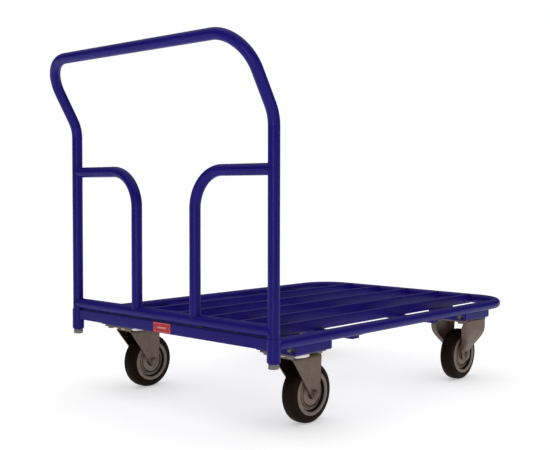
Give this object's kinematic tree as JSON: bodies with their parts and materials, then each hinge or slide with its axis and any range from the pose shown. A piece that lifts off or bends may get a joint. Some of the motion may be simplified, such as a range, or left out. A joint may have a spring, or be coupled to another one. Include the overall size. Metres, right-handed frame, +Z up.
{
  "type": "platform trolley",
  "caption": "Push trolley with a slatted flat deck in a round tube frame, a bent tube handle at the rear, swivel casters under the handle and fixed casters in front.",
  "frame": {"origin": "on the floor, under the middle of the trolley's bounding box", "axes": "+X is forward, away from the handle; +Y is left; +Z is up"},
  "size_m": [1.256, 0.803, 0.9615],
  "materials": {
    "blue_paint": "semi-gloss deep blue-violet powder coat on steel tube",
    "label_red": "satin red enamel on a thin metal plate, no lettering",
    "caster_steel": "dull zinc-plated pressed steel with a brownish grey tone",
    "rim_steel": "dull zinc-plated pressed steel wheel discs",
    "zinc": "bright zinc-plated fasteners and bearing parts",
    "tyre_rubber": "matt black solid rubber"
  },
  "bodies": {
    "chassis": {"perimeter_tube": "blue_paint", "rear_beam": "blue_paint", "slat_1": "blue_paint", "slat_2": "blue_paint", "slat_3": "blue_paint", "slat_4": "blue_paint", "slat_5": "blue_paint", "rear_cross_bar": "blue_paint", "front_cross_bar": "blue_paint", "rear_left_mount": "blue_paint", "rear_right_mount": "blue_paint", "front_left_mount": "blue_paint", "front_right_mount": "blue_paint", "handle_tube": "blue_paint", "handle_rail": "blue_paint", "left_branch": "blue_paint", "right_branch": "blue_paint", "left_socket": "blue_paint", "right_socket": "blue_paint", "label_plate": "label_red", "handle_bolts": "zinc", "label_rivets": "zinc", "caster_bolts": "zinc", "caster_nuts": "zinc", "front_axle_bolts": "zinc", "front_axle_nuts": "zinc", "front_axle_sleeves": "zinc", "handle_plugs": "zinc", "front_left_bracket": "caster_steel", "front_right_bracket": "caster_steel", "rear_left_top_plate": "caster_steel", "rear_left_kingpin": "zinc", "rear_right_top_plate": "caster_steel", "rear_right_kingpin": "zinc"},
    "left_swivel": {"rear_left_balls": "zinc", "rear_left_fork": "caster_steel", "rear_left_axle_bolt": "zinc", "rear_left_axle_nut": "zinc", "rear_left_axle_sleeve": "zinc"},
    "right_swivel": {"rear_right_balls": "zinc", "rear_right_fork": "caster_steel", "rear_right_axle_bolt": "zinc", "rear_right_axle_nut": "zinc", "rear_right_axle_sleeve": "zinc"},
    "rear_left_wheel": {"rear_left_tyre": "tyre_rubber", "rear_left_rim": "rim_steel", "rear_left_housing": "rim_steel", "rear_left_rollers": "zinc"},
    "rear_right_wheel": {"rear_right_tyre": "tyre_rubber", "rear_right_rim": "rim_steel", "rear_right_housing": "rim_steel", "rear_right_rollers": "zinc"},
    "front_left_wheel": {"front_left_tyre": "tyre_rubber", "front_left_rim": "rim_steel", "front_left_housing": "rim_steel", "front_left_rollers": "zinc"},
    "front_right_wheel": {"front_right_tyre": "tyre_rubber", "front_right_rim": "rim_steel", "front_right_housing": "rim_steel", "front_right_rollers": "zinc"}
  },
  "joints": [
    {"name": "left_caster_swivel", "type": "hinge", "parent": "chassis", "child": "left_swivel", "pos_m": [-0.36046, 0.315, 0.19], "axis": [0, 0, 1], "continuous": true},
    {"name": "rear_left_wheel_spin", "type": "hinge", "parent": "left_swivel", "child": "rear_left_wheel", "pos_m": [-0.30946, 0.315, 0.0785], "axis": [0, 1, 0], "continuous": true},
    {"name": "right_caster_swivel", "type": "hinge", "parent": "chassis", "child": "right_swivel", "pos_m": [-0.36046, -0.315, 0.19], "axis": [0, 0, 1], "continuous": true},
    {"name": "rear_right_wheel_spin", "type": "hinge", "parent": "right_swivel", "child": "rear_right_wheel", "pos_m": [-0.30946, -0.315, 0.0785], "axis": [0, 1, 0], "continuous": true},
    {"name": "front_left_wheel_spin", "type": "hinge", "parent": "chassis", "child": "front_left_wheel", "pos_m": [0.42354, 0.315, 0.0785], "axis": [0, 1, 0], "continuous": true},
    {"name": "front_right_wheel_spin", "type": "hinge", "parent": "chassis", "child": "front_right_wheel", "pos_m": [0.42354, -0.315, 0.0785], "axis": [0, 1, 0], "continuous": true}
  ]
}
